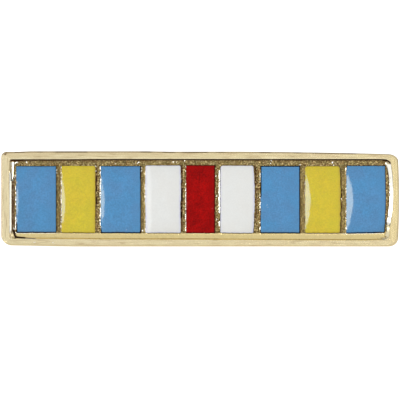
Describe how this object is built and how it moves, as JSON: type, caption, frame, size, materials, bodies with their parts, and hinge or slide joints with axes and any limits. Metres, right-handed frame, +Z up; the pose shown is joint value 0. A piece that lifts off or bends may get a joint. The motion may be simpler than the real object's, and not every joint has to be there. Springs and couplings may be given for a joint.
{
  "type": "ribbon bar lapel pin",
  "caption": "Small gilt ribbon bar lapel pin: a struck metal bar with a raised rim, bands of coloured enamel let into its face, and a round post on its back for a clutch.",
  "frame": {"origin": "on the table under the middle of the pin as it rests, leaning back on its post", "axes": "+X along the bar towards the viewer's right, +Y back along the post's foot on the table, +Z up; the face looks towards -Y and leans back 11.3 degrees"},
  "size_m": [0.0168, 0.0096, 0.0041],
  "materials": {
    "gilt_brass": "gilt, polished rim and back, dull toned ground between the enamel bands",
    "blue_enamel": "opaque gloss enamel, mid blue",
    "yellow_enamel": "opaque gloss enamel, lemon yellow",
    "white_enamel": "opaque gloss enamel, white",
    "red_enamel": "opaque gloss enamel, deep red"
  },
  "bodies": {
    "root": {"bar": "gilt_brass", "post": "gilt_brass", "enamel_1_blue": "blue_enamel", "enamel_2_yellow": "yellow_enamel", "enamel_3_blue": "blue_enamel", "enamel_4_white": "white_enamel", "enamel_5_red": "red_enamel", "enamel_6_white": "white_enamel", "enamel_7_blue": "blue_enamel", "enamel_8_yellow": "yellow_enamel", "enamel_9_blue": "blue_enamel"}
  },
  "joints": []
}
